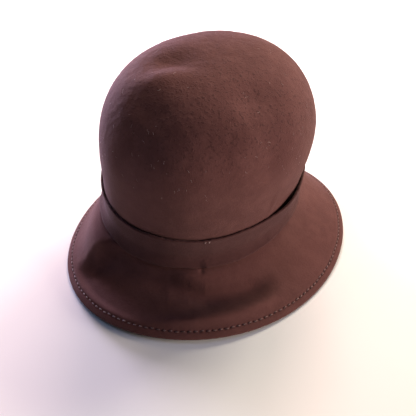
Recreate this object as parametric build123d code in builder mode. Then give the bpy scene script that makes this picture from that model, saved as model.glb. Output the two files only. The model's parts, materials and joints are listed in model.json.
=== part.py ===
from build123d import *
from math import cos, pi, radians, sin
import os

# Soft wool-felt hat, in millimetres: a tall rounded crown, a down-turned brim with a wired hem,
# a felt band round the crown and a ribbon sweatband inside the head opening.
# The hat stands on its brim at Z = 0, with +Z up. The origin is the middle of the brim's oval
# outline. The wearer faces -Y and has +X on the left.

# Felt
FELT = 2.0                      # thickness of every felt piece
FIT_GAP = 0.1                   # air between two felt pieces that lie on each other

# Head opening and crown
OVAL = 1.188                    # length over width of the head's oval
CROWN_FOOT = (-11, 3, 50)       # middle of the crown's lower edge
HEAD_TILT = (5, 7, 0)           # tilt of the head opening about X, Y and Z, in degrees
SLIP_X, SLIP_Y = 0.05, 0.02     # how far the crown drifts sideways per millimetre of height
TIP_TOP = 90                    # height above which the crown's rings are fully tipped
CROWN_HEIGHT = 146
CROWN_WIDEST = 88               # half the crown's width at its shoulder
SHOULDER = 71                   # height of the widest ring
ROUNDNESS = 2.5                 # exponent of the dome's curve
WAIST = 3                       # how much the wall draws in from the shoulder to its foot
FLARE, FLARE_HEIGHT = 5, 14     # outward sweep of the wall at its foot

# Brim
BRIM_X, BRIM_Y = 131, 153.5     # half width and half length of the brim's outline
WAVE, WAVE_TURN = 5.4, -7       # height of the rim's three waves, and their turn in degrees
RIM_SLOPE = 30                  # fall of the brim at its rim, in degrees
BRIM_PULL = 0.35                # length of the brim curve's end tangents, over its chord
UPSTAND = 12                    # part of the brim that stands up inside the crown
UPSTAND_INSET = FELT + FIT_GAP  # distance of the upstand from the crown's outer face
HEM = 9.5                       # width of the turned-under hem, from the rim's outer face
STITCH_INSET = 6.6              # distance of the hem's stitches from the rim's outer face
SPANS = 32                      # points on each ring of the brim

# Hem wire and its joiner
WIRE_RADIUS = 0.6
WIRE_POINTS = 48
WIRE_BEND = 90                  # radius of the wire's arcs
WIRE_GAP = 0.5                  # air between the wire's two ends
JOINER_RADIUS, JOINER_LENGTH = 1.1, 10
JOINER_CHAMFER = 0.2

# Band
BAND_HEIGHT = 34
BAND_JOIN = 75                  # angle of the band's join from +X, in degrees
JOIN_GAP = 0.6

# Sweatband and label
RIBBON = 0.7                    # thickness of the ribbon
RIBBON_LOW, RIBBON_HIGH = 2, 30
RIBBON_CLEAR = 0.4              # air between the ribbon and the upstand
LABEL_WIDTH, LABEL_DROP, LABEL_THICK = 20, 26, 0.4
LABEL_TOP = 27                  # height of the label's sewn edge up the head opening
LABEL_CLEAR = 0.8               # air between the label and the ribbon
LABEL_HANG = 5                  # lean of the hanging label away from the ribbon, in degrees
LABEL_CORNER = 0.8              # radius of the label's corners

# Thread
THREAD = 0.6                    # width of a stitch
HEM_PITCH, HEM_STITCH = 5.2, 3.4
HEAD_PITCH, HEAD_STITCH = 8, 5
RIBBON_PITCH, RIBBON_STITCH = 6, 4
SEAM_HEIGHT = 7                 # height of the seam that joins crown and brim
RIBBON_SEAM = 4                 # height of the seam along the sweatband
HEM_LEG = 1.8                   # depth of a hem stitch's legs; upper and under ones nearly meet
JOIN_STITCH = 5                 # length of the stitches across the band's join
JOIN_HEIGHTS = (6, 14, 22, 30)
TACK, TACK_DROP = 3, 3          # length of a tack, and how far it lies below the band's top
TACK_ANGLES = (-48, -44, 42, 132, 222)
LABEL_STITCH, LABEL_PITCH = 2.2, 3
LABEL_STITCHES = 6
LABEL_SEAM = 1.5                # distance of the label's stitches from its sewn edge
SUNK = 0.2                      # how deep a stitch's middle lies below the felt's face

STEP = 0.01                     # small step for measuring a surface's directions

HEAD = Plane(Location(CROWN_FOOT, HEAD_TILT))


def eased(value, low, high):
    """0 below low, 1 above high, and a smooth rise between."""
    share = min(max((value - low) / (high - low), 0), 1)
    return share * share * (3 - 2 * share)


def crown_radius(height, inset=0):
    """Half-width of the crown at a height, measured to a face this far inside its outer face."""
    if height > SHOULDER:
        rise = (height - SHOULDER) / (CROWN_HEIGHT - inset - SHOULDER)
        return (CROWN_WIDEST - inset) * (1 - rise**ROUNDNESS) ** (1 / ROUNDNESS)
    radius = CROWN_WIDEST - inset - WAIST * (1 - height / SHOULDER) ** 2
    if height < FLARE_HEIGHT:
        radius += FLARE * (1 - height / FLARE_HEIGHT) ** 2
    return radius


def ring_axes(height, inset=0):
    """Half-width and half-length of the head's oval at a height."""
    radius = crown_radius(height, inset)
    return radius, OVAL * radius + (OVAL - 1) * inset


def ring_plane(height):
    """Plane of the head's oval at a height. The crown leans, so the plane drifts and tips."""
    tip = eased(height, BAND_HEIGHT, TIP_TOP)
    across = HEAD.from_local_coords(Vector(1, 0, -tip * SLIP_X)) - HEAD.origin
    upward = HEAD.from_local_coords(Vector(tip * SLIP_X, tip * SLIP_Y, 1)) - HEAD.origin
    middle = HEAD.from_local_coords(Vector(SLIP_X * height, SLIP_Y * height, height))
    return Plane(origin=middle, x_dir=across, z_dir=upward)


def head_point(angle, height, inset=0):
    """Point on the head's oval at an angle from +X."""
    half_width, half_length = ring_axes(height, inset)
    flat = Vector(half_width * cos(angle), half_length * sin(angle), 0)
    return ring_plane(height).from_local_coords(flat)


def head_face(angle, height, inset=0):
    """Plane that lies on a face of the head: X runs round the oval and Z points outwards."""
    around = head_point(angle + STEP, height, inset) - head_point(angle - STEP, height, inset)
    upward = head_point(angle, height + STEP, inset) - head_point(angle, height - STEP, inset)
    return Plane(origin=head_point(angle, height, inset), x_dir=around, z_dir=around.cross(upward))


def head_solid(heights, inset):
    """Solid through the head's ovals at these heights."""
    with BuildPart() as solid:
        for height in heights:
            with BuildSketch(ring_plane(height)):
                Ellipse(*ring_axes(height, inset))
        loft()
    return solid.part


def dome_heights(inset):
    """Heights of the crown's ovals, close together where the dome turns over."""
    wall = [0, 4, 9, FLARE_HEIGHT, 24, BAND_HEIGHT, 46, 58, SHOULDER]
    rises = [sin(radians(turn)) for turn in (10, 20, 30, 40, 50, 59, 67, 74, 80, 84, 87)]
    reach = CROWN_HEIGHT - inset - SHOULDER
    return wall + [SHOULDER + reach * rise for rise in rises]


# ---- Crown ----
with BuildPart() as crown:
    add(head_solid(dome_heights(0), 0))
    add(head_solid([-2] + dome_heights(FELT), FELT), mode=Mode.SUBTRACT)


# ---- Brim ----
def rim_top(angle):
    """Point on the brim's upper face beside the rim, and the direction in which it falls there."""
    outward = Vector(cos(angle) / BRIM_X, sin(angle) / BRIM_Y, 0).normalized()
    slope = radians(RIM_SLOPE)
    falling = outward * cos(slope) - Vector(0, 0, sin(slope))
    upward = outward * sin(slope) + Vector(0, 0, cos(slope))
    lift = WAVE * (1 - cos(3 * (angle - radians(WAVE_TURN)))) / 2
    fold = Vector((BRIM_X - FELT) * cos(angle), (BRIM_Y - FELT) * sin(angle), FELT + lift)
    return fold + upward * FELT, falling


def brim_chord(angle):
    """Straight distance from the crown's foot to the rim."""
    return (rim_top(angle)[0] - head_point(angle, 0, UPSTAND_INSET)).length


def brim_top(angle, share):
    """Point on the brim's upper face: share is -1 on top of the upstand, 0 at the crown's foot
    and 1 beside the rim."""
    if share < 0:
        return head_point(angle, -share * UPSTAND, UPSTAND_INSET)
    foot = head_point(angle, 0, UPSTAND_INSET)
    downward = (foot - head_point(angle, 1, UPSTAND_INSET)).normalized()
    rim, falling = rim_top(angle)
    pull = BRIM_PULL * (rim - foot).length
    rest = 1 - share
    return (
        foot * rest**3
        + (foot + downward * pull) * (3 * rest**2 * share)
        + (rim - falling * pull) * (3 * rest * share**2)
        + rim * share**3
    )


def brim_down(angle, share):
    """Direction through the felt, from the brim's upper face to its lower one."""
    along = brim_top(angle, share + STEP) - brim_top(angle, share - STEP)
    around = brim_top(angle + STEP, share) - brim_top(angle - STEP, share)
    return around.cross(along).normalized()


def rim_share(angle, distance):
    """Share of the brim at this distance from the rim's outer face."""
    return 1 - (distance - FELT) / (3 * BRIM_PULL * brim_chord(angle))


def brim_point(angle, share, depth):
    """Point in the brim's felt at a depth below its upper face."""
    return brim_top(angle, share) + brim_down(angle, share) * depth


def fold_point(angle, turn):
    """Point on the rim's rounded fold, turned in degrees from its upper side to its under side."""
    down = brim_down(angle, 1)
    falling = rim_top(angle)[1]
    middle = brim_top(angle, 1) + down * FELT
    return middle - down * (FELT * cos(radians(turn))) + falling * (FELT * sin(radians(turn)))


def closed_ring(point_at):
    """Closed curve through the points that point_at gives round the brim."""
    points = [point_at(2 * pi * index / SPANS) for index in range(SPANS)]
    with BuildLine() as ring:
        Spline(*points, periodic=True)
    return ring.wires()[0]


def brim_ring(share, depth):
    return closed_ring(lambda angle: brim_point(angle, share, depth))


def hem_ring(distance, depth):
    return closed_ring(lambda angle: brim_point(angle, rim_share(angle, distance), depth))


def fold_ring(turn):
    return closed_ring(lambda angle: fold_point(angle, turn))


upper_face = [brim_ring(share, 0) for share in (-1, -0.5, 0, 0.2, 0.4, 0.6, 0.8)] + [fold_ring(0)]
fold_face = [fold_ring(turn) for turn in (0, 45, 90, 135, 180)]
hem_face = [fold_ring(180), hem_ring(HEM / 2, 2 * FELT), hem_ring(HEM, 2 * FELT)]
hem_edge = [hem_ring(HEM, 2 * FELT), hem_ring(HEM, FELT)]
lower_face = [hem_ring(HEM, FELT)] + [brim_ring(share, FELT) for share in (0.6, 0.4, 0.2, 0, -0.5, -1)]
upstand_edge = [brim_ring(-1, FELT), brim_ring(-1, 0)]

brim_faces = []
for rings in (upper_face, fold_face, hem_face, hem_edge, lower_face, upstand_edge):
    brim_faces += Shell.make_loft(rings).faces()


# ---- Hem wire and its joiner ----
def wire_path():
    """Closed path of the wire along the middle of the fold; a straight run lies across the back."""
    turn = 2 * pi / WIRE_POINTS
    angles = [pi / 2 + (index + 0.5) * turn for index in range(WIRE_POINTS)]
    points = [brim_point(angle, 1, FELT) for angle in angles]
    with BuildLine() as path:
        FilletPolyline(*points, radius=WIRE_BEND, close=True)
    run = Plane(origin=(points[-1] + points[0]) / 2, z_dir=points[0] - points[-1])
    return path.wires()[0], run


hem_path, back_run = wire_path()

with BuildPart() as full_wire:
    with BuildSketch(Plane(origin=hem_path @ 0, z_dir=hem_path % 0)):
        Circle(WIRE_RADIUS)
    sweep(path=hem_path)

with BuildPart() as brim_wire:
    add(full_wire.part)
    with BuildSketch(back_run.offset(-WIRE_GAP / 2)):
        Circle(2 * WIRE_RADIUS)
    extrude(amount=WIRE_GAP, mode=Mode.SUBTRACT)

with BuildPart() as wire_joiner:
    with BuildSketch(back_run.offset(-JOINER_LENGTH / 2)):
        Circle(JOINER_RADIUS)
    extrude(amount=JOINER_LENGTH)
    chamfer(wire_joiner.edges().filter_by(GeomType.CIRCLE), JOINER_CHAMFER)
    joiner_pocket = wire_joiner.part
    add(full_wire.part, mode=Mode.SUBTRACT)

with BuildPart() as brim:
    add(Solid(Shell(brim_faces)))
    add(full_wire.part, mode=Mode.SUBTRACT)
    add(joiner_pocket, mode=Mode.SUBTRACT)


# ---- Band ----
def head_sleeve(heights, outer, inner):
    """Sleeve round the head's oval between two insets from the crown's outer face."""
    with BuildPart() as sleeve:
        add(head_solid(heights, outer))
        add(head_solid([heights[0] - 1] + heights + [heights[-1] + 1], inner), mode=Mode.SUBTRACT)
    return sleeve.part


band_heights = [0, 4, 9, FLARE_HEIGHT, 20, 27, BAND_HEIGHT]
band_outer = -FELT - FIT_GAP

with BuildPart() as hat_band:
    add(head_sleeve(band_heights, band_outer, -FIT_GAP))
    with BuildSketch(head_face(radians(BAND_JOIN), BAND_HEIGHT / 2, band_outer)):
        Rectangle(JOIN_GAP, 2 * BAND_HEIGHT)
    extrude(amount=2 * FELT, both=True, mode=Mode.SUBTRACT)


# ---- Sweatband ----
ribbon_outer = UPSTAND_INSET + FELT + RIBBON_CLEAR
ribbon_inner = ribbon_outer + RIBBON
with BuildPart() as sweatband:
    add(head_sleeve([RIBBON_LOW, 5, 9, FLARE_HEIGHT, 22, RIBBON_HIGH], ribbon_outer, ribbon_inner))


# ---- Label ----
def label_plane():
    """Plane of the hanging label: X runs along its sewn edge, Y points down it and Z inwards."""
    back = pi / 2
    wall = head_point(back, LABEL_TOP, ribbon_inner)
    side = head_point(back + LABEL_WIDTH / 2 / CROWN_WIDEST, LABEL_TOP, ribbon_inner)
    bulge = HEAD.to_local_coords(wall).Y - HEAD.to_local_coords(side).Y
    inward = HEAD.y_dir * -1
    hang = radians(LABEL_HANG)
    down = inward * sin(hang) - HEAD.z_dir * cos(hang)
    top = wall + inward * (bulge + LABEL_CLEAR + LABEL_THICK / 2)
    return Plane(origin=top, x_dir=HEAD.x_dir, z_dir=HEAD.x_dir.cross(down))


label_face = label_plane()
with BuildPart() as size_label:
    with BuildSketch(label_face):
        with Locations((0, LABEL_DROP / 2)):
            RectangleRounded(LABEL_WIDTH, LABEL_DROP, LABEL_CORNER)
    extrude(amount=LABEL_THICK / 2, both=True)


# ---- Stitches ----
def evenly(point_at, pitch):
    """Angles of stitches at an even pitch round a closed line."""
    samples = 720
    angles = [2 * pi * index / samples for index in range(samples + 1)]
    points = [point_at(angle) for angle in angles]
    runs = [0]
    for start, end in zip(points, points[1:]):
        runs.append(runs[-1] + (end - start).length)
    count = round(runs[-1] / pitch)
    found = []
    for stitch in range(count):
        wanted = runs[-1] * (stitch + 0.5) / count
        index = next(place for place, run in enumerate(runs) if run > wanted)
        part = (wanted - runs[index - 1]) / (runs[index] - runs[index - 1])
        found.append(angles[index - 1] + part * (angles[index] - angles[index - 1]))
    return found


def sewn_row(places, length, depth, closed):
    """One stitch on each plane: a bar on the face and two legs through the layers.
    A closed stitch has a second bar on the far side."""
    rise = THREAD / 2 - SUNK
    legs = depth + 2 * rise if closed else depth
    with BuildPart() as stitch:
        with BuildSketch(Plane.XZ):
            with Locations((0, rise)):
                Rectangle(length, THREAD)
            with Locations((-(length - THREAD) / 2, rise), ((length - THREAD) / 2, rise)):
                Rectangle(THREAD, legs, align=(Align.CENTER, Align.MAX))
            if closed:
                with Locations((0, -depth - rise)):
                    Rectangle(length, THREAD)
        extrude(amount=THREAD / 2, both=True)
        chamfer(stitch.faces().sort_by(Axis.Z)[-1].edges(), THREAD / 5)
    with BuildPart() as row:
        with Locations(*places):
            add(stitch.part)
    return row.part


def hem_place(angle, depth):
    """Plane on the brim's hem: X runs along the rim and Z points out of the felt."""
    share = rim_share(angle, STITCH_INSET)
    ahead = brim_point(angle + STEP, rim_share(angle + STEP, STITCH_INSET), depth)
    behind = brim_point(angle - STEP, rim_share(angle - STEP, STITCH_INSET), depth)
    outward = brim_down(angle, share)
    if depth == 0:
        outward = outward * -1
    return Plane(origin=brim_point(angle, share, depth), x_dir=ahead - behind, z_dir=outward)


hem_angles = evenly(lambda angle: hem_place(angle, 0).origin, HEM_PITCH)
with BuildPart() as brim_stitches_top:
    add(sewn_row([hem_place(angle, 0) for angle in hem_angles], HEM_STITCH, HEM_LEG, False))

with BuildPart() as brim_stitches_under:
    add(sewn_row([hem_place(angle, 2 * FELT) for angle in hem_angles], HEM_STITCH, HEM_LEG, False))

seam_angles = evenly(lambda angle: head_point(angle, SEAM_HEIGHT), HEAD_PITCH)
with BuildPart() as head_seam_stitches:
    places = [head_face(angle, SEAM_HEIGHT) for angle in seam_angles]
    add(sewn_row(places, HEAD_STITCH, 2 * FELT, True))

ribbon_angles = evenly(lambda angle: head_point(angle, RIBBON_SEAM, FELT), RIBBON_PITCH)
with BuildPart() as sweatband_stitches:
    places = [head_face(angle, RIBBON_SEAM, FELT) for angle in ribbon_angles]
    add(sewn_row(places, RIBBON_STITCH, ribbon_inner - FELT, True))

with BuildPart() as band_join_stitches:
    places = [head_face(radians(BAND_JOIN), height, band_outer) for height in JOIN_HEIGHTS]
    add(sewn_row(places, JOIN_STITCH, FELT, True))

with BuildPart() as band_tacks:
    for angle in TACK_ANGLES:
        upright = head_face(radians(angle), BAND_HEIGHT - TACK_DROP, band_outer)
        add(sewn_row([upright.rotated((0, 0, 90))], TACK, 2 * FELT + FIT_GAP, True))

with BuildPart() as label_stitches:
    places = []
    for stitch in range(LABEL_STITCHES):
        across = (stitch - (LABEL_STITCHES - 1) / 2) * LABEL_PITCH
        origin = label_face.from_local_coords((across, LABEL_SEAM, LABEL_THICK / 2))
        places.append(Plane(origin=origin, x_dir=label_face.x_dir, z_dir=label_face.z_dir))
    add(sewn_row(places, LABEL_STITCH, LABEL_THICK, True))


# ---- Files, one for each piece ----
pieces = {
    "crown": crown,
    "brim": brim,
    "brim_wire": brim_wire,
    "wire_joiner": wire_joiner,
    "hat_band": hat_band,
    "sweatband": sweatband,
    "size_label": size_label,
    "brim_stitches_top": brim_stitches_top,
    "brim_stitches_under": brim_stitches_under,
    "head_seam_stitches": head_seam_stitches,
    "sweatband_stitches": sweatband_stitches,
    "band_join_stitches": band_join_stitches,
    "band_tacks": band_tacks,
    "label_stitches": label_stitches,
}
os.makedirs("parts", exist_ok=True)
for name, piece in pieces.items():
    piece.part.label = name
    export_step(piece.part, f"parts/{name}.step")

hinge = label_face.origin
print("label hinge", tuple(hinge), "axis", tuple(HEAD.x_dir * -1))
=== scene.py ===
import itertools
import json
import math
import random
import bmesh
import bpy
import numpy as np
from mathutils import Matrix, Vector


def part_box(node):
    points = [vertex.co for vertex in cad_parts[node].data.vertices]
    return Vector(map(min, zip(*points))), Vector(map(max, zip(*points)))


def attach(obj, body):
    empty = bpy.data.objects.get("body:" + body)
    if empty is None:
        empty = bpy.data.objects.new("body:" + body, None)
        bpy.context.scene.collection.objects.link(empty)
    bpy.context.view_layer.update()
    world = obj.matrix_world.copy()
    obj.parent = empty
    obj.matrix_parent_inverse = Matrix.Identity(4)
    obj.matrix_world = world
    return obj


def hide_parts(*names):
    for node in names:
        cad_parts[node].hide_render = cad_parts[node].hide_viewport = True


# Soft wool-felt hat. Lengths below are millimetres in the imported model's own frame, and every
# mesh is scaled to metres when it is made. Directions round the hat are degrees from +X, the
# wearer's left, so the front is at -90. Shares of the brim run from its root to its rim.

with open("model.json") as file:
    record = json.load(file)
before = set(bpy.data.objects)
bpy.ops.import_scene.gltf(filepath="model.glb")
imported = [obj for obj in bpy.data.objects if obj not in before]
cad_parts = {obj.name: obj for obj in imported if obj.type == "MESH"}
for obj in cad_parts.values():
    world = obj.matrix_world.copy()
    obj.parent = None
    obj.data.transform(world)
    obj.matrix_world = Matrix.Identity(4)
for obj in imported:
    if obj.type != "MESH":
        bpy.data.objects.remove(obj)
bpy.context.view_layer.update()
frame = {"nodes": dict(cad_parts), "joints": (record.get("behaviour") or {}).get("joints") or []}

MM = 0.001

# ---- Sizes shared with the solid model ----
FELT = 2.0                          # thickness of every felt piece
OVAL = 1.188                        # length over width of the head's oval
FOOT = np.array([-11.0, 3.0, 50.0])     # middle of the crown's lower edge
TILT_X, TILT_Y = 5, 7               # tilt of the head opening, in degrees
SLIP_X, SLIP_Y = 0.05, 0.02         # sideways lean of the crown for each unit of height
TIP_TOP = 90                        # height above which the crown's rings are fully tipped
CROWN_HEIGHT, CROWN_WIDEST, SHOULDER = 146, 88, 71
ROUNDNESS, WAIST, FLARE, FLARE_HEIGHT = 2.5, 3, 5, 14
RIM_FALL, BRIM_PULL, UPSTAND = 30, 0.35, 12
WAVE, WAVE_TURN = 5.4, -7           # height of the rim's three waves, and the direction of a low
HEM, STITCH_INSET = 9.5, 6.6        # width of the hem and place of its seam, from the rim
BAND_HEIGHT, BAND_JOIN = 34, 75
JOIN_HEIGHTS = (6, 14, 22, 30)
RIBBON, RIBBON_LOW, RIBBON_HIGH, RIBBON_INSET = 0.7, 2, 30, 4.5
LABEL_WIDTH, LABEL_DROP, LABEL_THICK, LABEL_HANG = 20, 26, 0.4, 5

# The brim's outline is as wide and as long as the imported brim.
brim_low, brim_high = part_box("brim")
BRIM_X = (brim_high.x - brim_low.x) / 2 / MM
BRIM_Y = (brim_high.y - brim_low.y) / 2 / MM


def turn_matrix():
    """Tilt of the head opening: about Y, then about X."""
    a, b = math.radians(TILT_X), math.radians(TILT_Y)
    about_x = np.array([[1, 0, 0], [0, math.cos(a), -math.sin(a)], [0, math.sin(a), math.cos(a)]])
    about_y = np.array([[math.cos(b), 0, math.sin(b)], [0, 1, 0], [-math.sin(b), 0, math.cos(b)]])
    return about_x @ about_y


HEAD = turn_matrix()


# ---- Small helpers ----
NOISE_CELLS, NOISE_SHIFT = 32, 100      # cells in a noise table, and cells from it to the origin


def eased(value, low, high):
    """Smooth rise from 0 at low to 1 at high."""
    share = np.clip((np.asarray(value, float) - low) / (high - low), 0, 1)
    return share * share * (3 - 2 * share)


def bump_at(value, middle, below, above=None):
    """Bell of height 1, with its own spread below and above the middle."""
    gap = np.asarray(value, float) - middle
    return np.exp(-((gap / np.where(gap < 0, below, above or below)) ** 2))


def angle_gap(angle, degrees):
    """Signed difference between an angle and a direction, in degrees from -180 to 180."""
    return (np.degrees(angle) - degrees + 180) % 360 - 180


def unit(vectors):
    return vectors / np.linalg.norm(vectors, axis=-1, keepdims=True)


def ripple(points, size, seed):
    """Smooth random noise of -1 to 1 in space, with features of this size."""
    table = np.random.default_rng(seed).uniform(-1, 1, [NOISE_CELLS] * 3)
    spot = points / size + NOISE_SHIFT
    cell = np.floor(spot).astype(int)
    part = spot - cell
    part = part * part * (3 - 2 * part)
    total = 0
    for corner in itertools.product((0, 1), repeat=3):
        weight = np.where(np.array(corner) == 1, part, 1 - part).prod(-1)
        x, y, z = np.moveaxis((cell + np.array(corner)) % NOISE_CELLS, -1, 0)
        total = total + weight * table[x, y, z]
    return total


def add_object(name, points, faces):
    """Smooth-shaded object from points in millimetres."""
    mesh = bpy.data.meshes.new(name)
    mesh.from_pydata((points * MM).tolist(), [], faces)
    mesh.polygons.foreach_set("use_smooth", [True] * len(mesh.polygons))
    obj = bpy.data.objects.new(name, mesh)
    bpy.context.scene.collection.objects.link(obj)
    return obj


def make_mesh(name, rows, loop=False, first=None, last=None, closed=True):
    """Mesh through rows of points. Rows close on themselves, loop joins the last row to the
    first, and first and last are poles beyond the end rows."""
    rows = np.asarray(rows, float)
    count, around = rows.shape[:2]
    points = [rows.reshape(-1, 3)]
    index = np.arange(count * around).reshape(count, around)
    below, above = (index, np.roll(index, -1, 0)) if loop else (index[:-1], index[1:])
    if closed:
        quads = [below, np.roll(below, -1, 1), np.roll(above, -1, 1), above]
    else:
        quads = [below[:, :-1], below[:, 1:], above[:, 1:], above[:, :-1]]
    faces = np.stack(quads, -1).reshape(-1, 4).tolist()
    for pole, row, order in ((first, index[0], 1), (last, index[-1], -1)):
        if pole is None:
            continue
        spot = sum(len(block) for block in points)
        points.append(np.asarray(pole, float).reshape(1, 3))
        pairs = zip(row, np.roll(row, -1))
        faces += [[a, spot, b] if order > 0 else [a, b, spot] for a, b in pairs]
    return add_object(name, np.concatenate(points), faces)


def face_outwards(obj, close_ends=False):
    """Turn every face outwards, after closing any open ends."""
    work = bmesh.new()
    work.from_mesh(obj.data)
    if close_ends:
        bmesh.ops.holes_fill(work, edges=[edge for edge in work.edges if edge.is_boundary])
    bmesh.ops.recalc_face_normals(work, faces=work.faces)
    work.to_mesh(obj.data)
    work.free()
    return obj


def dress(obj, material, body, slot, *nodes):
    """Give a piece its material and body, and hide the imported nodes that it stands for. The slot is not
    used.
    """
    obj.data.materials.append(material)
    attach(obj, body)
    if nodes:
        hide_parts(*nodes)
    return obj


# ---- Surfaces of the head and the brim ----
TURN_STEP = 0.004                   # small turn, in radians, for measuring a surface's directions
SHARE_STEP = -0.01                  # small share of the brim; negative, because the brim runs downwards


def crown_radius(height, inset=0):
    """Half the crown's width at a height, on its outer face or inset from it."""
    rise = np.clip((height - SHOULDER) / (CROWN_HEIGHT - inset - SHOULDER), 0, 1)
    dome = (CROWN_WIDEST - inset) * (1 - rise**ROUNDNESS) ** (1 / ROUNDNESS)
    wall = CROWN_WIDEST - inset - WAIST * (1 - height / SHOULDER) ** 2
    wall = wall + np.where(height < FLARE_HEIGHT, FLARE * (1 - height / FLARE_HEIGHT) ** 2, 0)
    return np.where(height > SHOULDER, dome, wall)


def head_point(angle, height, inset=0):
    """Point on the head's oval at an angle from +X and a height up the crown."""
    angle, height, inset = np.broadcast_arrays(
        np.asarray(angle, float), np.asarray(height, float), np.asarray(inset, float)
    )
    radius = crown_radius(height, inset)
    x = radius * np.cos(angle)
    y = (OVAL * radius + (OVAL - 1) * inset) * np.sin(angle)
    tip = eased(height, BAND_HEIGHT, TIP_TOP)
    z = height - tip * (SLIP_X * x + SLIP_Y * y)
    return np.stack([x + SLIP_X * height, y + SLIP_Y * height, z], -1) @ HEAD.T + FOOT


def rim_top(angle):
    """Point of the upper face above the rim's wire, and the direction in which the face falls there."""
    outward = unit(np.stack([np.cos(angle) / BRIM_X, np.sin(angle) / BRIM_Y, 0 * angle], -1))
    fall, up = math.radians(RIM_FALL), np.array([0, 0, 1.0])
    falling = outward * math.cos(fall) - up * math.sin(fall)
    rising = outward * math.sin(fall) + up * math.cos(fall)
    lift = WAVE * (1 - np.cos(3 * (angle - math.radians(WAVE_TURN)))) / 2
    x, y = (BRIM_X - FELT) * np.cos(angle), (BRIM_Y - FELT) * np.sin(angle)
    return np.stack([x, y, FELT + lift], -1) + rising * FELT, falling


def brim_sheet(angle, share):
    """The brim's plain upper face: share is -1 on the upstand's top, 0 at the crown and 1 at the rim."""
    angle, share = np.broadcast_arrays(np.asarray(angle, float), np.asarray(share, float))
    foot = head_point(angle, 0, FELT)
    down = unit(foot - head_point(angle, 1, FELT))
    rim, falling = rim_top(angle)
    pull = BRIM_PULL * np.linalg.norm(rim - foot, axis=-1, keepdims=True)
    t = share[..., None]
    rest = 1 - t
    curve = foot * rest**3 + (foot + down * pull) * 3 * rest**2 * t
    curve = curve + (rim - falling * pull) * 3 * rest * t**2 + rim * t**3
    upstand = head_point(angle, np.clip(-share, 0, 1.1) * UPSTAND, FELT)
    return np.where(t < 0, upstand, curve)


def brim_chord(angle):
    """Straight distance from the brim's root to its rim."""
    return np.linalg.norm(rim_top(angle)[0] - head_point(angle, 0, FELT), axis=-1)


def rim_share(angle, distance):
    """Share of the brim at a distance from the rim's outer face."""
    return 1 - (distance - FELT) / (3 * BRIM_PULL * brim_chord(angle))


def rim_distance(angle, share):
    """Distance from the rim's outer face at a share of the brim."""
    return FELT + (1 - share) * 3 * BRIM_PULL * brim_chord(angle)


def outward_normal(surface, angle, level, step):
    """Unit normal of a surface over angle and level, pointing out of the hat."""
    around = surface(angle + TURN_STEP, level) - surface(angle - TURN_STEP, level)
    along = surface(angle, level + step) - surface(angle, level - step)
    return unit(np.cross(around, along))


# ---- Stitch places along the hem ----
LINE_STEPS = 2880


def even_angles(line, count):
    """Angles that divide a closed line into stitches of even pitch."""
    angles = np.linspace(0, 2 * math.pi, LINE_STEPS + 1)
    points = line(angles)
    runs = np.concatenate([[0], np.cumsum(np.linalg.norm(np.diff(points, axis=0), axis=1))])
    wanted = runs[-1] * np.arange(count) / count
    return np.interp(wanted, runs, angles)


HEM_STITCHES = 166
COLUMNS_PER_STITCH = 6              # mesh columns for each stitch
hem_columns = even_angles(
    lambda a: brim_sheet(a, rim_share(a, STITCH_INSET)), HEM_STITCHES * COLUMNS_PER_STITCH
)
stitch_phase = np.arange(len(hem_columns)) / COLUMNS_PER_STITCH


def hem_relief(distance, phase):
    """Rise of the hem's face: a seam groove with a pit at each needle hole, between soft rolls."""
    gap = distance - STITCH_INSET
    needle = (0.5 + 0.5 * np.cos(2 * math.pi * phase)) ** 3
    sunk = 0.3 * bump_at(gap, 0, 1.1) + 0.8 * needle * bump_at(gap, 0, 0.75)
    return 0.2 * bump_at(gap, -2.5, 1.8) + 0.3 * bump_at(gap, 3, 2.5) - sunk


# The arm of the front valley: its lowest line and the crest beyond it, as shares of the brim.
ARM_TURNS = (-62, -53, -45, -30, -17)
ARM_HOLLOW = (0.30, 0.36, 0.46, 0.51, 0.55)
ARM_CREST = (0.87, 0.85, 0.82, 0.78, 0.74)
VALLEY_DEEP, ARM_DEEP, CREASE_DEEP = 8.5, 6.5, 1.0
LOBE_HIGH, FOLD_HIGH, LIP_HIGH, BACK_HIGH = 10.0, 5.0, 6.5, 1.8
SWEEP = 22                          # swing of the lobe and the valley's edge from root to rim


def brim_relief(angle, share):
    """Slow rise and fall of the soft brim: a raised lobe on the left, a valley in front with an arm
    that runs to the right under a lip, a fold at the end of the band and a gentle wave at the back."""
    turn = angle_gap(angle, 0)
    swept = turn + SWEEP * share
    valley = eased(swept, -102, -90) * (1 - eased(turn, -112, -46)) * bump_at(share, 0.48, 0.42, 0.36)
    lobe = bump_at(swept, -101, 24, 6) * bump_at(share, 0.2, 0.2, 0.36)
    fold = bump_at(turn, -51, 11, 30) * bump_at(share, 0.16, 0.14, 0.2)
    hollow_gap = share - np.interp(turn, ARM_TURNS, ARM_HOLLOW)
    crest_gap = share - np.interp(turn, ARM_TURNS, ARM_CREST)
    arm = eased(turn, -104, -52) * (1 - eased(turn, -26, -12)) * bump_at(hollow_gap, 0, 0.13, 0.18)
    lip = eased(turn, -78, -50) * (1 - eased(turn, -30, -8)) * bump_at(crest_gap, 0, 0.15, 0.12)
    crease = bump_at(turn, -46.5, 1.2) * bump_at(share, 0.09, 0.05)
    back = np.cos(2 * angle + 0.6) * bump_at(share, 0.55, 0.25) * eased(np.abs(turn), 60, 120) * (turn > 0)
    raised = LOBE_HIGH * lobe + FOLD_HIGH * fold + LIP_HIGH * lip + BACK_HIGH * back
    return raised - VALLEY_DEEP * valley - ARM_DEEP * arm - CREASE_DEEP * crease


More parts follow.
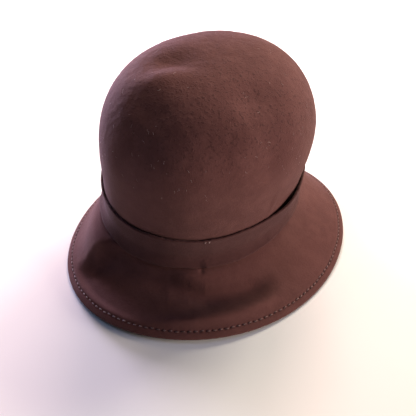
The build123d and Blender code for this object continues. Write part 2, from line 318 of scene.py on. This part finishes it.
def brim_face(angle, share, phase):
    """Finished upper face of the brim: its relief fades at the root and at the hem, which stay in shape."""
    base = brim_sheet(angle, share)
    normal = outward_normal(brim_sheet, angle, share, SHARE_STEP)
    held = eased(share, 0.0, 0.06) * (1 - eased(share, 0.80, 0.91))
    rise = brim_relief(angle, share) * held + hem_relief(rim_distance(angle, share), phase)
    rise = rise + (0.35 * ripple(base, 34, 3) + 0.08 * ripple(base, 6, 4)) * eased(share, 0, 0.1)
    rise = rise * eased(share, -0.02, 0.05) * (1 - eased(share, 0.985, 1.0))
    return base + normal * rise[..., None]


# ---- Materials ----
class Nodes:
    """Short way to build a material's node tree."""

    def __init__(self, name):
        self.material = bpy.data.materials.new(name)
        self.material.use_nodes = True
        self.tree = self.material.node_tree
        self.shader = self.tree.nodes["Principled BSDF"]

    def add(self, kind, links=None, **settings):
        node = self.tree.nodes.new(kind)
        for key, value in settings.items():
            setattr(node, key, value)
        for socket, source in (links or {}).items():
            self.tree.links.new(source, node.inputs[socket])
        return node

    def link(self, source, socket):
        self.tree.links.new(source, self.shader.inputs[socket])

    def noise(self, vector, scale, detail=3, rough=0.55):
        node = self.add("ShaderNodeTexNoise", {"Vector": vector})
        node.inputs["Scale"].default_value = scale
        node.inputs["Detail"].default_value = detail
        node.inputs["Roughness"].default_value = rough
        return node.outputs["Fac"]

    def ramp(self, value, low, high, start=0.0, end=1.0):
        node = self.add("ShaderNodeMapRange", {"Value": value}, interpolation_type="SMOOTHSTEP")
        for socket, number in (("From Min", low), ("From Max", high), ("To Min", start), ("To Max", end)):
            node.inputs[socket].default_value = number
        return node.outputs["Result"]

    def feed(self, socket, value):
        """Link a socket to another one, or set its value."""
        if isinstance(value, bpy.types.NodeSocket):
            self.tree.links.new(value, socket)
        else:
            socket.default_value = value

    def mix(self, factor, first, second):
        node = self.add("ShaderNodeMix", data_type="RGBA")
        for socket, value in ((0, factor), (6, first), (7, second)):
            self.feed(node.inputs[socket], value)
        return node.outputs[2]

    def math(self, operation, *values):
        node = self.add("ShaderNodeMath", operation=operation)
        for socket, value in enumerate(values):
            self.feed(node.inputs[socket], value)
        return node.outputs[0]

    def bump(self, height, strength, distance, below=None):
        node = self.add("ShaderNodeBump", {"Height": height})
        node.inputs["Strength"].default_value = strength
        node.inputs["Distance"].default_value = distance
        if below is not None:
            self.tree.links.new(below, node.inputs["Normal"])
        return node.outputs["Normal"]


def colour(red, green, blue):
    return (red, green, blue, 1.0)


def shade(tone, share):
    """Darker or lighter version of a colour."""
    return colour(*[min(1.0, share * part) for part in tone[:3]])


def felt_material(name, base, dark, pale, pills=1.0):
    """Wool felt: a matted nap with slow changes of tone, dark and pale pills and fine fibres. Pills
    crowd where the piece's own pilling attribute is high."""
    n = Nodes(name)
    place = n.add("ShaderNodeTexCoord").outputs["Object"]
    slow = n.noise(place, 16, 2)
    cloud = n.noise(place, 75, 4, 0.6)
    pill = n.noise(place, 460, 3, 0.6)
    fleck = n.noise(place, 760, 2, 0.5)
    fibre = n.noise(place, 2600, 3, 0.7)
    worn = n.add("ShaderNodeAttribute", attribute_name="pilling").outputs["Fac"]
    dark_pills = n.math("MULTIPLY", n.ramp(pill, 0.52, 0.68), n.math("MULTIPLY_ADD", worn, pills, 0.12))
    flecks = n.ramp(fleck, 0.66, 0.74, 0, 0.55)
    pale_pills = n.math("MULTIPLY", flecks, n.math("MULTIPLY_ADD", worn, pills, 0.15))
    tone = n.mix(n.ramp(slow, 0.3, 0.7), dark, base)
    tone = n.mix(n.ramp(cloud, 0.42, 0.66, 0.0, 0.5), tone, pale)
    tone = n.mix(dark_pills, tone, shade(dark, 0.68))
    tone = n.mix(pale_pills, tone, shade(pale, 1.7))
    n.link(n.mix(n.ramp(fibre, 0.3, 0.7, 0.0, 0.3), tone, pale), "Base Color")
    n.link(n.ramp(fibre, 0.3, 0.7, 0.88, 1.0), "Roughness")
    n.shader.inputs["Specular IOR Level"].default_value = 0.14
    n.shader.inputs["Sheen Weight"].default_value = 0.1
    n.shader.inputs["Sheen Roughness"].default_value = 0.55
    n.shader.inputs["Sheen Tint"].default_value = colour(0.75, 0.55, 0.55)
    matted = n.bump(cloud, 0.35, 0.0009)
    pilled = n.bump(n.math("ADD", pill, dark_pills), 0.35, 0.0005, matted)
    n.link(n.bump(fibre, 0.55, 0.0003, pilled), "Normal")
    return n.material


def thread_material(name, base):
    """Twisted thread: slanting plies with a soft shine."""
    n = Nodes(name)
    place = n.add("ShaderNodeTexCoord").outputs["Object"]
    fuzz = n.noise(place, 3000, 2)
    ply = n.noise(place, 900, 1)
    n.link(n.mix(n.ramp(ply, 0.35, 0.65), shade(base, 0.6), colour(*base)), "Base Color")
    n.link(n.ramp(fuzz, 0.3, 0.7, 0.45, 0.7), "Roughness")
    n.shader.inputs["Sheen Weight"].default_value = 0.3
    n.link(n.bump(fuzz, 0.5, 0.0002), "Normal")
    return n.material


def woven_material(name, base, ribs, rib_strength, cross):
    """Woven cloth: ribs across its width and finer threads along it, from the piece's own map."""
    n = Nodes(name)
    flat = n.add("ShaderNodeTexCoord").outputs["UV"]
    place = n.add("ShaderNodeTexCoord").outputs["Object"]
    split = n.add("ShaderNodeSeparateXYZ", {"Vector": flat})
    rib = n.math("SINE", n.math("MULTIPLY", split.outputs["X"], 2 * math.pi * ribs))
    thread = n.math("SINE", n.math("MULTIPLY", split.outputs["Y"], 2 * math.pi * cross))
    weave = n.math("ADD", n.math("MULTIPLY", rib, 0.7), n.math("MULTIPLY", thread, 0.3))
    worn = n.noise(place, 60, 3)
    tone = n.mix(n.ramp(weave, -0.9, 0.9), shade(base, 0.55), colour(*base))
    n.link(n.mix(n.ramp(worn, 0.4, 0.7, 0, 0.35), tone, shade(base, 1.35)), "Base Color")
    n.link(n.ramp(worn, 0.3, 0.7, 0.6, 0.85), "Roughness")
    n.shader.inputs["Sheen Weight"].default_value = 0.2
    n.link(n.bump(weave, rib_strength, 0.0004), "Normal")
    return n.material


def metal_material(name, base, grain):
    """Drawn or crimped steel with fine scratches and dull patches."""
    n = Nodes(name)
    place = n.add("ShaderNodeTexCoord").outputs["Object"]
    scratch = n.noise(place, grain, 4, 0.7)
    patch = n.noise(place, 90, 2)
    n.link(n.mix(n.ramp(patch, 0.4, 0.7), colour(*base), shade(base, 0.6)), "Base Color")
    n.link(n.ramp(scratch, 0.3, 0.7, 0.25, 0.5), "Roughness")
    n.shader.inputs["Metallic"].default_value = 1.0
    n.link(n.bump(scratch, 0.3, 0.0001), "Normal")
    return n.material


CROWN_TONES = (colour(0.081, 0.0325, 0.0290), colour(0.068, 0.0265, 0.0240), colour(0.100, 0.0430, 0.0385))
BRIM_TONES = (colour(0.079, 0.0315, 0.0280), colour(0.065, 0.0258, 0.0232), colour(0.097, 0.0415, 0.0370))
# The band's tones are partly its own darker felt and partly painted shade: they are darkened further to
# stand in for the shade that falls on the band.
BAND_TONES_WITH_PAINTED_SHADE = (colour(0.053, 0.0210, 0.0200), colour(0.043, 0.0168, 0.0162), colour(0.066, 0.0281, 0.0265))

crown_felt = felt_material("crown_felt", *CROWN_TONES)
brim_felt = felt_material("brim_felt", *BRIM_TONES, pills=0.5)
band_felt = felt_material("band_felt", *BAND_TONES_WITH_PAINTED_SHADE, pills=0.4)
hem_thread = thread_material("hem_thread", (0.140, 0.070, 0.062))
bobbin_thread = thread_material("bobbin_thread", (0.110, 0.055, 0.050))
seam_thread = thread_material("seam_thread", (0.070, 0.032, 0.032))
ribbon_thread = thread_material("ribbon_thread", (0.080, 0.040, 0.041))
band_thread = thread_material("band_thread", (0.083, 0.038, 0.036))
tack_thread = thread_material("tack_thread", (0.34, 0.22, 0.205))
label_thread = thread_material("label_thread", (0.45, 0.42, 0.38))
lint_fibre = thread_material("lint_fibre", (0.36, 0.27, 0.26))
ribbon_cloth = woven_material("ribbon_cloth", (0.045, 0.023, 0.025), 380, 0.9, 40)
label_cloth = woven_material("label_cloth", (0.60, 0.56, 0.50), 50, 0.5, 65)
wire_steel = metal_material("wire_steel", (0.55, 0.55, 0.56), 1800)
joiner_steel = metal_material("joiner_steel", (0.60, 0.58, 0.52), 900)


def set_attribute(obj, name, values):
    """Store one number for each point; points past the end of the values get 0."""
    layer = obj.data.attributes.new(name, "FLOAT", "POINT")
    full = np.zeros(len(obj.data.vertices), np.float32)
    full[: values.size] = values.reshape(-1)
    layer.data.foreach_set("value", full)


# ---- Camera ----
# Its turn from the front to the wearer's left, its rise, and in metres its distance and its aim.
TURN, RISE, LENS = 39.13, 38.35, 44.57
REACH, AIM_HEIGHT, AIM_SIDE = 0.52104, 0.02971, -0.00162


def add_camera():
    turn, rise = math.radians(TURN), math.radians(RISE)
    back = Vector((math.sin(turn) * math.cos(rise), -math.cos(turn) * math.cos(rise), math.sin(rise)))
    side = (-back).cross(Vector((0, 0, 1))).normalized()
    data = bpy.data.cameras.new("camera")
    data.lens = LENS
    data.sensor_width = 36
    data.clip_start = 0.01
    camera = bpy.data.objects.new("camera", data)
    camera.location = Vector((0, 0, AIM_HEIGHT)) + side * AIM_SIDE + back * REACH
    camera.rotation_euler = back.to_track_quat("Z", "Y").to_euler()
    bpy.context.scene.collection.objects.link(camera)
    bpy.context.scene.camera = camera


add_camera()

# ---- Crown ----
CROWN_COLUMNS = 400
OUTER_WALL, OUTER_DOME = 52, 110        # rows of the outer face below and above the shoulder
INNER_WALL, INNER_DOME = 30, 60
CROWN_FOOT = 0.6                    # height of the lowest row, just above the rounded lower edge
POLE_TURN = 89.0                    # the dome's last row, in degrees round its curve from the shoulder

# Soft dents of the crown's wall: angle, height, half-width in degrees, half-height and depth.
WALL_DENTS = (
    (-97, 121, 22, 8, -1.6),
    (-92, 103, 14, 15, 2.0),
    (-14, 107, 10, 15, 3.2),
    (-82, 60, 14, 30, 0.8),
    (-11, 46, 2.2, 16, -0.9),
    (60, 100, 25, 20, 1.6),
    (150, 120, 22, 14, 2.0),
)
# Dents of its top: middle across and along the head, half-widths across and along, and depth.
TOP_DENTS = (
    (-21, -28, 22, 17, 4.4),
    (-6, -80, 32, 20, 4.6),
    (54, -14, 19, 16, 3.4),
    (10, 40, 30, 30, -0.8),
)
# A ridge between the first two.
RIDGE_X, RIDGE_Y, RIDGE_TURN, RIDGE_LONG, RIDGE_WIDE, RIDGE_HIGH = -15, -43, 33, 20, 9, 3.0


def crown_relief(angle, height, base):
    """Soft dents of the crown, a ridge on top and the pilling of its nap."""
    local = (base - FOOT) @ HEAD
    x, y = local[..., 0] - SLIP_X * height, local[..., 1] - SLIP_Y * height
    x, y = x + 7 * ripple(base, 34, 31), y + 7 * ripple(base, 34, 32)
    upper = eased(height, 72, 118)
    turn = math.radians(RIDGE_TURN)
    along = (x - RIDGE_X) * math.cos(turn) + (y - RIDGE_Y) * math.sin(turn)
    across = (y - RIDGE_Y) * math.cos(turn) - (x - RIDGE_X) * math.sin(turn)
    rise = RIDGE_HIGH * bump_at(along, 0, RIDGE_LONG) * bump_at(across, 0, RIDGE_WIDE) * upper
    sway = 4 * ripple(base, 26, 33)
    for middle, level, width, reach, depth in WALL_DENTS:
        spread = bump_at(angle_gap(angle, middle) + sway, 0, width)
        rise = rise - depth * spread * bump_at(height + sway, level, reach)
    for middle, level, width, reach, depth in TOP_DENTS:
        rise = rise - depth * upper * bump_at(x, middle, width) * bump_at(y, level, reach)
    above_band = eased(height, BAND_HEIGHT + 2, BAND_HEIGHT + 26)
    slow = 0.8 * ripple(base, 38, 11) * (1 - eased(height, 120, 143))
    pills = (0.04 + 0.12 * upper) * (ripple(base, 4.5, 12) + 0.5 * ripple(base, 2.3, 13))
    return rise + (slow + pills) * above_band


def crown_face(angle, height, within=None):
    """Dented outer face of the crown, or its inner face, whose heights are then given by within."""
    base = head_point(angle, height)
    step = np.where(height > 140, 0.05, 0.5)
    normal = outward_normal(head_point, angle, height, step)
    start = base if within is None else head_point(angle, within, FELT)
    return start + normal * crown_relief(angle, height, base)[..., None]


def dome_levels(inset, rows):
    """Heights from the shoulder to the top, evenly spaced along the dome's curve."""
    turns = np.radians(np.linspace(0, POLE_TURN, rows))
    return SHOULDER + (CROWN_HEIGHT - inset - SHOULDER) * np.sin(turns)


def make_crown():
    """One run of rows, from the inner face's top down, round the lower edge and up the outer face."""
    angles = np.linspace(0, 2 * math.pi, CROWN_COLUMNS, endpoint=False)
    wall = np.linspace(CROWN_FOOT, SHOULDER, OUTER_WALL)[:-1]
    outer = np.concatenate([wall, dome_levels(0, OUTER_DOME)])
    wall = np.linspace(CROWN_FOOT, SHOULDER, INNER_WALL)[:-1]
    inner = np.concatenate([wall, dome_levels(FELT, INNER_DOME)])[::-1]
    beyond = np.concatenate([wall, dome_levels(0, INNER_DOME)])[::-1]
    turn, height = np.meshgrid(angles, outer)
    outside = crown_face(turn, height)
    inside = crown_face(*np.meshgrid(angles, beyond), np.meshgrid(angles, inner)[1])
    rounding = ((0.1, FELT - 0.5), (0.0, FELT / 2), (0.1, 0.5))
    edge = np.array([head_point(angles, level, inset) for level, inset in rounding])
    rows = np.concatenate([inside, edge, outside])
    obj = make_mesh("felt_crown", rows, first=inside[0].mean(0), last=outside[-1].mean(0))
    worn = np.zeros(rows.shape[:2])
    front = bump_at(angle_gap(turn, -20), 0, 75)
    worn[-len(outside):] = eased(height, 85, 125) * (0.35 + 0.65 * front)
    set_attribute(obj, "pilling", worn)
    return face_outwards(obj)


dress(make_crown(), crown_felt, "hat", "crown_felt", "crown")


# ---- Brim ----
UPSTAND_SHARES = np.array([-1, -0.75, -0.5, -0.25, 0])
HEM_ZONE = 12.5                     # width along the rim that is meshed finely for the seam


def brim_under(angles, share, depth):
    """Rows a depth below the brim's plain upper face."""
    normal = outward_normal(brim_sheet, angles, share, SHARE_STEP)
    return brim_sheet(angles, share) - normal * depth[..., None]


def make_brim():
    """One loop of rows: along the upper face, round the fold, under the hem, over its cut edge
    and back along the lower face to the upstand's top."""
    angles, phase = hem_columns[None, :], stitch_phase[None, :]
    body = np.concatenate([UPSTAND_SHARES, np.linspace(0.02, 1, 40)])[:, None]
    body = np.where(body > 0, body * rim_share(angles, HEM_ZONE), body)
    hem_rows = np.linspace(HEM_ZONE - 0.4, FELT, 26)[:, None]
    top = brim_face(angles, np.concatenate([body, rim_share(angles, hem_rows)]), phase)

    rim = np.ones((1, 1))
    up = outward_normal(brim_sheet, angles, rim, SHARE_STEP)
    turns = np.radians(np.linspace(0, 180, 11)[1:])[:, None, None]
    spoke = (np.cos(turns) - 1) * up + np.sin(turns) * rim_top(angles)[1]
    fold = brim_sheet(angles, rim) + FELT * spoke

    hem_rows = np.linspace(FELT + 0.6, HEM, 18)[:, None]
    fade = (1 - eased(hem_rows, HEM - 1.5, HEM)) * eased(hem_rows, FELT, FELT + 1.5)
    seam = hem_relief(hem_rows + 0 * angles, phase) * fade
    hem = brim_under(angles, rim_share(angles, hem_rows), 2 * FELT + seam)

    edge_share = rim_share(angles, HEM + np.array([0.25, 0.3, 0.2])[:, None])
    edge_depth = FELT * np.array([1.8, 1.5, 1.15])[:, None]
    edge = brim_under(angles, edge_share, edge_depth + 0 * edge_share)

    back = np.concatenate([np.linspace(1, 0.02, 30), UPSTAND_SHARES[::-1]])[:, None]
    back = np.where(back > 0, back * rim_share(angles, HEM + 0.3), back)
    held = eased(back, 0.0, 0.1) * (1 - eased(back, 0.8, 0.86))
    lower = brim_under(angles, back, FELT - brim_relief(angles, back) * held)

    rows = np.concatenate([top, fold, hem, edge, lower])
    obj = make_mesh("felt_brim", rows, loop=True)
    worn = np.zeros(rows.shape[:2])
    worn[: len(top)] = 0.1
    set_attribute(obj, "pilling", worn)
    return face_outwards(obj)


dress(make_brim(), brim_felt, "hat", "brim_felt", "brim")


# ---- Felt band ----
BAND_COLUMNS, BAND_ROWS = 620, 22
BAND_GAP = 0.3                      # half the gap at the band's join
BAND_CORNER = 0.45                  # rounding of its cut edges
BAND_LOWEST = -1                    # no point of the band lies lower than this


def band_edges(angle):
    """Heights of the band's cut edges, a little uneven. The lower one is raised where the band hangs
    loose in front, and the upper one where it stands open on the wearer's left."""
    turn = angle_gap(angle, 0)
    rough = 0.16 * np.sin(61 * angle) * np.sin(17 * angle + 1) + 0.14 * np.sin(97 * angle + 2)
    low = 0.5 * np.sin(3 * angle + 0.4) + 0.35 * np.sin(7 * angle + 2.0) + 0.2 * np.sin(17 * angle)
    low = low + 1.3 * eased(turn, -49, -46) * (1 - eased(turn, -5, 15))
    high = BAND_HEIGHT + 0.5 * np.sin(2 * angle + 1.1) + 0.3 * np.sin(9 * angle) + 0.2 * np.sin(23 * angle)
    high = high + 4.0 * bump_at(turn, 8, 12, 20)
    return low + rough, high - rough


def band_lift(angle, share):
    """How far the band stands off the crown: share runs from its lower to its upper edge."""
    turn = angle_gap(angle, 0)
    slit = 2.7 * bump_at(turn, 3, 10, 13) * share**1.5
    ease = 0.35 + 0.25 * np.sin(5 * angle + 1) + 0.5 * bump_at(turn, -38, 14)
    loose = 2.2 * eased(turn, -48, -44) * (1 - eased(turn, -10, 15)) * (1 - share) ** 3
    return 0.05 * FELT + slit + ease * share**6 + (0.3 + loose) * (1 - share) ** 3


def make_band():
    gap = BAND_GAP / (CROWN_WIDEST + FELT)
    start = math.radians(BAND_JOIN)
    angles = np.linspace(start + gap, start + 2 * math.pi - gap, BAND_COLUMNS)
    low, high = band_edges(angles)
    shares = np.linspace(0, 1, BAND_ROWS)
    section = [(share, 0.0) for share in shares] + [(1.0, 0.25), (1.0, 0.6)]
    section += [(share, 1.0) for share in shares[::-1]] + [(0.0, 0.6), (0.0, 0.25)]
    rows = []
    for share, depth in section:
        rounded = BAND_CORNER * (abs(depth - 0.5) * 2) ** 3
        trim = {0.0: rounded, 1.0: -rounded}.get(share, 0)
        out = band_lift(angles, share) + FELT * depth
        height = np.maximum(low + share * (high - low) + trim, BAND_LOWEST)
        rows.append(head_point(angles, height, -out))
    rows = np.array(rows)
    nap = 0.064 * ripple(rows, 5, 21) + 0.2 * ripple(rows, 30, 22)
    rows = rows + unit(rows - rows.mean((0, 1))) * nap[..., None]
    return face_outwards(make_mesh("felt_band", rows, loop=True, closed=False), close_ends=True)


band = dress(make_band(), band_felt, "hat", "band_felt", "hat_band")


# ---- Thread ----
def thread_tubes(name, paths, radius, sides=8, twist=2.2):
    """One mesh of separate two-ply threads along the given paths of points."""
    bundles, faces, base = [], [], 0
    turn = np.linspace(0, 2 * math.pi, sides, endpoint=False)
    for path in map(np.asarray, paths):
        along = unit(np.gradient(path, axis=0))
        side = unit(np.cross(along, along[len(path) // 2] * 0.3 + np.array([0.31, 0.52, 0.79])))
        top = np.cross(along, side)
        length = np.linspace(0, 1, len(path))[:, None]
        taper = np.clip(np.minimum(length, 1 - length) * 12, 0.35, 1)
        size = radius * taper * (1 + 0.16 * np.cos(2 * (turn[None, :] - twist * 2 * math.pi * length)))
        ring = side[:, None] * np.cos(turn)[None, :, None] + top[:, None] * np.sin(turn)[None, :, None]
        bundles.append((path[:, None] + ring * size[..., None]).reshape(-1, 3))
        index = base + np.arange(len(path) * sides).reshape(-1, sides)
        low, high = index[:-1], index[1:]
        quads = np.stack([low, np.roll(low, -1, 1), np.roll(high, -1, 1), high], -1)
        faces += quads.reshape(-1, 4).tolist()
        faces += [index[0][::-1].tolist(), index[-1].tolist()]
        base += len(path) * sides
    return face_outwards(add_object(name, np.concatenate(bundles), faces))


STITCH_START, STITCH_END = 0.14, 0.86   # the visible part of each stitch's pitch
STITCH_SUNK, STITCH_ARCH = 0.9, 1.1     # depth of its ends in the felt and rise of its middle


def hem_paths(side):
    """Stitches of the hem: side is 1 for the upper face and -1 for the under side."""
    place = np.arange(len(hem_columns) + 1) / COLUMNS_PER_STITCH
    angles = np.append(hem_columns, 2 * math.pi)
    steps = np.linspace(STITCH_START, STITCH_END, 9)
    arch = np.sin(math.pi * (steps - STITCH_START) / (STITCH_END - STITCH_START)) ** 0.5
    rise = STITCH_ARCH * arch - STITCH_SUNK
    rise = rise if side > 0 else -2 * FELT - rise
    paths = []
    for stitch in range(HEM_STITCHES):
        wobble = 0.25 * math.sin(stitch * 2.4) + 0.2 * math.sin(stitch * 0.9)
        angle = np.interp(stitch + steps, place, angles)
        share = rim_share(angle, STITCH_INSET + wobble)
        normal = outward_normal(brim_sheet, angle, share, SHARE_STEP)
        paths.append(brim_sheet(angle, share) + normal * rise[:, None])
    return paths


top_thread = thread_tubes("hem_stitches", hem_paths(1), 0.42)
dress(top_thread, hem_thread, "hat", "hem_thread", "brim_stitches_top")
under_thread = thread_tubes("hem_bobbin_stitches", hem_paths(-1), 0.38)
dress(under_thread, bobbin_thread, "hat", "bobbin_thread", "brim_stitches_under")


JOIN_THREAD = 5.2                   # length of a thread across the band's join


def band_paths():
    """Stitches that cross the band's join, one above the other, with their ends in the felt."""
    across = np.linspace(-1, 1, 11)
    angle = math.radians(BAND_JOIN) + across * JOIN_THREAD / 2 / (CROWN_WIDEST + 4)
    out = FELT + 0.9 - 1.54 * across**6
    return [head_point(angle, height + 0.4 * across, -out) for height in JOIN_HEIGHTS]


join_stitches = thread_tubes("band_join_thread", band_paths(), 0.36)
dress(join_stitches, band_thread, "hat", "band_thread", "band_join_stitches")


TACK_TURNS = (-46.5, -44.5, 42, 132, 222)
TACK_LOOPS = ((0.0, 0.3, 3.2), (0.9, -0.5, 2.4))    # offset, slant and length of each tack's two loops


def tack_paths():
    """Little loops of light thread that catch the band's upper edge."""
    paths = []
    run = np.linspace(0, 1, 9)
    out = FELT + 0.3 + 0.45 * np.sin(math.pi * run)
    for degrees, (offset, slant, length) in itertools.product(TACK_TURNS, TACK_LOOPS):
        angle = math.radians(degrees) + (offset + slant * run) / (CROWN_WIDEST + 4)
        paths.append(head_point(angle, BAND_HEIGHT - 1.2 - length * run, -out))
    return paths


tacks = thread_tubes("band_tack_thread", tack_paths(), 0.28, 6)
dress(tacks, tack_thread, "hat", "tack_thread", "band_tacks")


# ---- Sweatband ----
RIBBON_COLUMNS, RIBBON_ROWS = 720, 14


def add_flat_map(obj, around, rows):
    """Map that runs once round the piece in X and once across it in Y."""
    layer = obj.data.uv_layers.new(name="flat")
    for face in obj.data.polygons:
        corners = [obj.data.loops[loop].vertex_index for loop in face.loop_indices]
        columns = [corner % around for corner in corners]
        wraps = max(columns) - min(columns) > around / 2
        for loop, corner, column in zip(face.loop_indices, corners, columns):
            x = column + (around if wraps and column < around / 2 else 0)
            layer.data[loop].uv = (x / around, (corner // around) / rows)


def make_sweatband():
    angles = np.linspace(0, 2 * math.pi, RIBBON_COLUMNS, endpoint=False)
    shares = np.linspace(0, 1, RIBBON_ROWS)
    section = [(share, 0.0) for share in shares] + [(1.0, 0.5)]
    section += [(share, 1.0) for share in shares[::-1]] + [(0.0, 0.5)]
    rows = []
    for share, depth in section:
        swell = 0.0525 * np.sin(6 * angles + 0.5) * share + 0.03 * np.sin(15 * angles) * share**2
        height = RIBBON_LOW + share * (RIBBON_HIGH - RIBBON_LOW + 0.2 * np.sin(9 * angles))
        rows.append(head_point(angles, height, RIBBON_INSET + RIBBON * depth + 0.05 + swell))
    obj = make_mesh("ribbon_sweatband", rows, loop=True)
    add_flat_map(obj, RIBBON_COLUMNS, len(section))
    return face_outwards(obj)


ribbon = dress(make_sweatband(), ribbon_cloth, "hat", "ribbon", "sweatband")


# ---- Label ----
LABEL_COLUMNS, LABEL_ROWS = 28, 36
hinge = np.array(frame["joints"][0]["pos_m"]) / MM


def make_label():
    """Hanging cloth label with a turned hem and a slight curl, about its sewn edge."""
    along = HEAD[:, 0]
    hang = math.radians(LABEL_HANG)
    down = -HEAD[:, 1] * math.sin(hang) - HEAD[:, 2] * math.cos(hang)
    inward = np.cross(along, down)
    u, v = np.meshgrid(np.linspace(-0.5, 0.5, LABEL_COLUMNS), np.linspace(0, 1, LABEL_ROWS))
    curl = 0.7 * v**2 * np.cos(math.pi * u) + 0.25 * v * np.sin(3 * v + 4 * u)
    rounding = 0.5 * (np.abs(u * 2) ** 12) * ((v > 0.97) | (v < 0.03))
    hem = 0.12 * (np.abs(u) > 0.44) + 0.15 * (v < 0.1) + 0.12 * (v > 0.93)
    plain = hinge + along * (u * (LABEL_WIDTH - rounding))[..., None] + down * (v * LABEL_DROP)[..., None]
    half = 0.4 * LABEL_THICK + hem / 2
    front = plain + inward * (curl + half)[..., None]
    back = plain + inward * (curl - half)[..., None]
    rows = np.concatenate([front, back[:, ::-1]], axis=1)
    obj = face_outwards(make_mesh("cloth_label", rows), close_ends=True)
    layer = obj.data.uv_layers.new(name="flat")
    for loop in obj.data.loops:
        spot = np.array(obj.data.vertices[loop.vertex_index].co) / MM - hinge
        layer.data[loop.index].uv = (spot @ along / LABEL_WIDTH + 0.5, spot @ down / LABEL_DROP)
    return obj


label = dress(make_label(), label_cloth, "label", "label_cloth", "size_label")

# ---- Carried-over solids ----
for node, material in (
    ("brim_wire", wire_steel),
    ("wire_joiner", joiner_steel),
    ("head_seam_stitches", seam_thread),
    ("sweatband_stitches", ribbon_thread),
    ("label_stitches", label_thread),
):
    shown = frame["nodes"][node]
    shown.data.materials.clear()
    shown.data.materials.append(material)


# ---- Lint ----
LINT_COUNT, LINT_SEED = 150, 7
LINT_LOW, LINT_HIGH = 78.4, 144.26      # heights on the crown between which the fibres lie


def lint_paths():
    """Short pale fibres that lie on the felt of the crown's upper part."""
    draw = random.Random(LINT_SEED)
    run = np.linspace(-0.5, 0.5, 7)
    paths = []
    for _ in range(LINT_COUNT):
        angle = np.array([draw.uniform(-math.pi, math.pi)])
        height = np.array([draw.uniform(LINT_LOW, LINT_HIGH)])
        length, turn = draw.uniform(0.8, 3.2), draw.uniform(0, 2 * math.pi)
        bend = draw.uniform(-1.2, 1.2)
        normal = outward_normal(head_point, angle, height, 0.3)[0]
        side = unit(np.cross(normal, np.array([math.cos(turn), math.sin(turn), 0.3])))
        flat = np.outer(run * length, side) + np.outer(bend * run**2 * length, np.cross(normal, side))
        rise = 0.12 - 0.9 * run**2 * length * length / CROWN_WIDEST
        paths.append(crown_face(angle, height)[0] + flat + np.outer(rise, normal))
    return paths


lint = thread_tubes("lint_fibres", lint_paths(), 0.07, 5, 0)
dress(lint, lint_fibre, "hat", "tack_thread")


# ---- Floor and light ----
FLOOR_HALF = 4000
LIGHT_REACH = 1.6                   # metres from the hat to each light


def add_floor():
    corners = np.array([[(-1, -1, 0), (1, -1, 0)], [(-1, 1, 0), (1, 1, 0)]]) * FLOOR_HALF
    obj = make_mesh("floor", corners, closed=False)
    n = Nodes("floor_paper")
    place = n.add("ShaderNodeTexCoord").outputs["Object"]
    n.link(n.mix(n.noise(place, 8, 3), colour(0.76, 0.82, 0.82), colour(0.80, 0.86, 0.86)), "Base Color")
    n.shader.inputs["Roughness"].default_value = 0.9
    obj.data.materials.append(n.material)


def add_light(name, azimuth, elevation, size, power, tint):
    """Square soft light that faces the hat from an azimuth (0 is the front, 90 the wearer's left)."""
    turn, rise = math.radians(azimuth), math.radians(elevation)
    way = Vector((math.sin(turn) * math.cos(rise), -math.cos(turn) * math.cos(rise), math.sin(rise)))
    data = bpy.data.lights.new(name, "AREA")
    data.size = size
    data.energy = power
    data.color = tint
    light = bpy.data.objects.new(name, data)
    light.location = Vector((0, 0, 0.1)) + way * LIGHT_REACH
    light.rotation_euler = way.to_track_quat("Z", "Y").to_euler()
    bpy.context.scene.collection.objects.link(light)


def add_world():
    world = bpy.data.worlds.new("studio")
    world.use_nodes = True
    background = world.node_tree.nodes["Background"]
    background.inputs["Color"].default_value = colour(1.0, 0.94, 0.97)
    background.inputs["Strength"].default_value = 0.02
    bpy.context.scene.world = world


add_floor()
add_light("key", 110, 8, 0.55, 31, (1.0, 0.79, 0.71))
add_light("back", 180, 42, 0.55, 23, (1.0, 0.83, 0.65))
add_light("back_left", 210, 42, 0.55, 20, (1.0, 0.66, 0.60))
add_light("left", 256, 8, 0.55, 53, (0.85, 0.70, 1.0))
add_light("top_left", 240, 60, 0.55, 7, (1.0, 0.72, 0.55))
add_light("top", 0, 70, 0.8, 3.5, (0.5, 0.6, 1.0))
add_world()
bpy.context.scene.view_settings.view_transform = "Standard"
